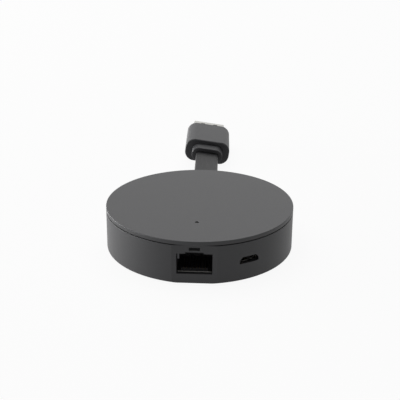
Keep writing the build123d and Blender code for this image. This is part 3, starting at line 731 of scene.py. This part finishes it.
# Lead connector and conductors: insulated wires from both ends of the lead, to a nylon
# connector on the board and to the solder card in the plug.
# Foamed polyethylene insulation is off-white with a waxy sheen.
polyethylene = grained(
    "polyethylene_insulation", "#b4b3ad", "#c6c5bf", grain=0.15, patch=2, relief=0.002,
    gloss=(0.38, 0.5), IOR=1.51
)
dress(nylon, "lead_connector")
dress(polyethylene, "lead_conductors", "plug_conductors")


# Plug grip: a hollow ABS moulding with big round corners, close to the case in colour, welded
# round the boot's flange and the metal shell.
grip_width, grip_height, grip_length = 18.85, 9.75, 25.7
grip_corner, grip_edge, grip_wall = 4.0, 0.5, 1.5
boot_width, boot_height, boot_corner, boot_room = 13.19, 6.29, 3.1, 0.05
shell_half, shell_high, shell_knee, shell_foot, shell_room = 6.95, 2.225, -0.925, 5.65, 0.05


def shell_outline(room):
    """The metal shell's outline, larger all round by the room asked for."""
    lean = room * tan(radians(22.5))
    half, high = shell_half + room, shell_high + room
    return mirrored([(shell_foot + lean, -high), (half, shell_knee - lean), (half, high)])


# This mould was blasted coarser than the case's, so the grip is duller. Its grain of 0.12 mm
# is drawn at 0.35 mm, so that it shows.
grip_abs = grained(
    "ABS_blasted_matt", "#28282a", "#2b2b2d", grain=0.35, patch=10, relief=0.004,
    gloss=(0.44, 0.52), IOR=1.39
)

grip = bmesh.new()
rounded_bar(grip, grip_width, grip_height, grip_corner, 0, grip_length)
for y in (0, grip_length):
    soften(grip, edges_where(grip, lambda co: abs(co.y - y) < touch), grip_edge, 5)
inside = bmesh.new()
width, height = grip_width - 2 * grip_wall, grip_height - 2 * grip_wall
rounded_bar(inside, width, height, grip_corner - grip_wall, grip_wall, grip_length - grip_wall)
grip = carve(grip, inside)
mouths = bmesh.new()
width, height = boot_width + 2 * boot_room, boot_height + 2 * boot_room
rounded_bar(mouths, width, height, boot_corner + boot_room, -1, grip_wall)
bar(mouths, shell_outline(shell_room), grip_length - 2, grip_length + 1)
grip = carve(grip, mouths)
bmesh.ops.transform(grip, matrix=plug_place, verts=grip.verts)
as_piece(grip, "plug_grip_moulding", grip_abs, "case_plastic", "plug", "plug_grip")


# Boot: a collar of the gland's PVC moulded on the lead, a little tapered, with a pocket
# behind a thin rim so that the lead bends freely. Its flange is held inside the grip.
boot_shrink, boot_edge, boot_rim, boot_pocket = 0.192, 0.2, 0.5, 2.2
boot_flange, boot_flange_room = 1.4, 0.1

boot = bmesh.new()
rounded_bar(boot, boot_width, boot_height, boot_corner, grip_wall + touch, -boot_length)
mouth = [vert for vert in boot.verts if vert.co.y < touch - boot_length]
shares = (1 - 2 * boot_shrink / boot_width, 1, 1 - 2 * boot_shrink / boot_height)
bmesh.ops.scale(boot, vec=shares, verts=mouth)
soften(boot, edges_where(boot, lambda co: co.y < touch - boot_length), boot_edge, 3)
pocket = [min(boot.faces, key=lambda face: face.calc_center_median().y)]
step_in(boot, pocket, boot_rim - boot_edge)
push(boot, pocket, (0, boot_pocket, 0))
flange = bmesh.new()
inset = grip_wall + boot_flange_room
width, height = grip_width - 2 * inset, grip_height - 2 * inset
rounded_bar(flange, width, height, grip_corner - inset, grip_wall, grip_wall + boot_flange)
boot = carve(boot, flange, "UNION")
passage = bmesh.new()
lead_passage(passage, -boot_length - 1, grip_wall + boot_flange + 1)
boot = carve(boot, passage)
bmesh.ops.transform(boot, matrix=plug_place, verts=boot.verts)
as_piece(boot, "boot", soft_pvc, "soft_plastic", "plug", "plug_boot")


# Inner mould: a filling of hot-melt polyamide round the solder card, which holds the metal
# shell and the lead's end. It is dark amber and waxy.
polyamide = grained(
    "polyamide_hot_melt", "#2f2a22", "#3a342a", grain=0.4, patch=5, relief=0.005,
    gloss=(0.35, 0.5), IOR=1.5
)
dress(polyamide, "plug_inner_mould")


# Metal shell: the video plug's sleeve, folded from nickel-plated steel strip 0.3 mm thick,
# with round bends, two latch windows in its upper and lower face, and its seam below.
shell_back, shell_tip, shell_thickness, shell_bend, shell_edge = 19.7, 37.6, 0.3, 0.55, 0.08
window_width, window_length, window_spacing, window_place = 1.8, 2.6, 5.7, 34.1
seam_half, seam_depth = 0.04, 0.12

shell = bmesh.new()
soften_long_edges(shell, bar(shell, shell_outline(0), shell_back, shell_tip), shell_bend, 5)
room = bmesh.new()
corners = bar(room, shell_outline(-shell_thickness), shell_back - 1, shell_tip + 1)
soften_long_edges(room, corners, shell_bend - shell_thickness, 5)
shell = carve(shell, room)
windows = bmesh.new()
for x in (-window_spacing / 2, window_spacing / 2):
    window = oblong(x - window_width / 2, x + window_width / 2, -2 * shell_high, 2 * shell_high)
    bar(windows, window, window_place - window_length / 2, window_place + window_length / 2)
seam = oblong(-seam_half, seam_half, -2 * shell_high, seam_depth - shell_high)
bar(windows, seam, shell_back - 1, shell_tip + 1)
shell = carve(shell, windows)
soften(shell, edges_where(shell, lambda co: co.y > shell_tip - touch), shell_edge, 2)
bmesh.ops.transform(shell, matrix=plug_place, verts=shell.verts)
as_piece(shell, "video_plug_shell", nickel, "shield_steel", "plug", "video_shell")


# Contact insert: a black nylon core in the shell, with nineteen gilt contact strips above
# and below the slot that takes the television's tongue.
dress(nylon, "video_insert")
dress(gilt, "video_contacts_upper", "video_contacts_lower")


# Studio: a sheet of white paper under a large overhead softbox, with two low strip lights at
# the left, all plain white. The air is pure white, seen directly or in a gloss.
floor = bmesh.new()
just_below = Matrix.Translation((0, 0, -0.0001))
bmesh.ops.create_grid(floor, x_segments=1, y_segments=1, size=3.0, matrix=just_below)
floor_mesh = bpy.data.meshes.new("floor")
floor.to_mesh(floor_mesh)
floor.free()
floor_object = bpy.data.objects.new("floor", floor_mesh)
bpy.context.scene.collection.objects.link(floor_object)
floor_object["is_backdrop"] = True


def seen(tree, direct, in_gloss):
    """One share for a ray from the camera or through glass, one for a ray off gloss, else 0."""
    ray = node(tree, "ShaderNodeLightPath", {})
    rays = {0: ray.outputs["Is Camera Ray"], 1: ray.outputs["Is Transmission Ray"]}
    through = node(tree, "ShaderNodeMath", rays, operation="MAXIMUM")
    first = node(tree, "ShaderNodeMath", {0: through.outputs[0], 1: direct}, operation="MULTIPLY")
    rays = {0: ray.outputs["Is Glossy Ray"], 1: in_gloss}
    second = node(tree, "ShaderNodeMath", rays, operation="MULTIPLY")
    shares = {0: first.outputs[0], 1: second.outputs[0]}
    return node(tree, "ShaderNodeMath", shares, operation="MAXIMUM").outputs[0]


# Part of what is seen is the paper's own white, so the object's shadow stays on it. From
# below the paper is clear, so that the underside can be looked at.
paper = bpy.data.materials.new("white_paper_sweep")
paper.use_nodes = True
tree = paper.node_tree
tree.nodes.clear()
sheet = node(tree, "ShaderNodeBsdfDiffuse", {"Color": linear("#e6e6e6")})
white = node(tree, "ShaderNodeEmission", {"Color": linear("#ffffff"), "Strength": 1.0})
shares = {0: seen(tree, 0.92, 0.8), 1: sheet.outputs[0], 2: white.outputs[0]}
top = node(tree, "ShaderNodeMixShader", shares)
clear = node(tree, "ShaderNodeBsdfTransparent", {"Color": linear("#ffffff")})
side = node(tree, "ShaderNodeNewGeometry", {})
faces = {0: side.outputs["Backfacing"], 1: top.outputs[0], 2: clear.outputs[0]}
sheet_and_back = node(tree, "ShaderNodeMixShader", faces)
node(tree, "ShaderNodeOutputMaterial", {"Surface": sheet_and_back.outputs[0]})
floor_mesh.materials.append(paper)

for name, place, width, height, power in (
    ("overhead_softbox", (-0.2, 0.45, 1.4), 2.2, 1.6, 24),
    ("left_strip_light", (-0.9, 0.3, 0.06), 1.2, 0.1, 13),
    ("left_front_strip_light", (-0.9, -0.3, 0.06), 0.8, 0.1, 2.5),
):
    lamp = bpy.data.lights.new(name, "AREA")
    lamp.shape, lamp.size, lamp.size_y, lamp.energy = "RECTANGLE", width, height, power
    lamp_object = bpy.data.objects.new(name, lamp)
    lamp_object.location = place
    aim = Vector((0, 0.02, 0)) - Vector(place)
    lamp_object.rotation_euler = aim.to_track_quat("-Z", "Y").to_euler()
    lamp_object.visible_camera = False
    bpy.context.scene.collection.objects.link(lamp_object)

world = bpy.data.worlds.new("studio_air")
world.use_nodes = True
bpy.context.scene.world = world
tree = world.node_tree
tree.nodes.clear()
air = node(tree, "ShaderNodeBackground", {"Color": linear("#ffffff"), "Strength": 0.02})
backdrop = node(tree, "ShaderNodeBackground", {"Color": linear("#ffffff"), "Strength": 1.0})
shares = {0: seen(tree, 1.0, 1.0), 1: air.outputs[0], 2: backdrop.outputs[0]}
mixed = node(tree, "ShaderNodeMixShader", shares)
node(tree, "ShaderNodeOutputWorld", {"Surface": mixed.outputs[0]})

camera = bpy.data.cameras.new("camera")
camera.lens, camera.sensor_width = 85.0, 36.0
camera.clip_start, camera.clip_end = 0.01, 20.0
camera_object = bpy.data.objects.new("camera", camera)
camera_object.location = (0.015367, -0.303354, 0.141815)
camera_object.rotation_euler = (radians(67.5477), radians(-0.3571), radians(3.0318))
bpy.context.scene.collection.objects.link(camera_object)
bpy.context.scene.camera = camera_object
bpy.context.scene.view_settings.view_transform = "Standard"

low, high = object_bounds()
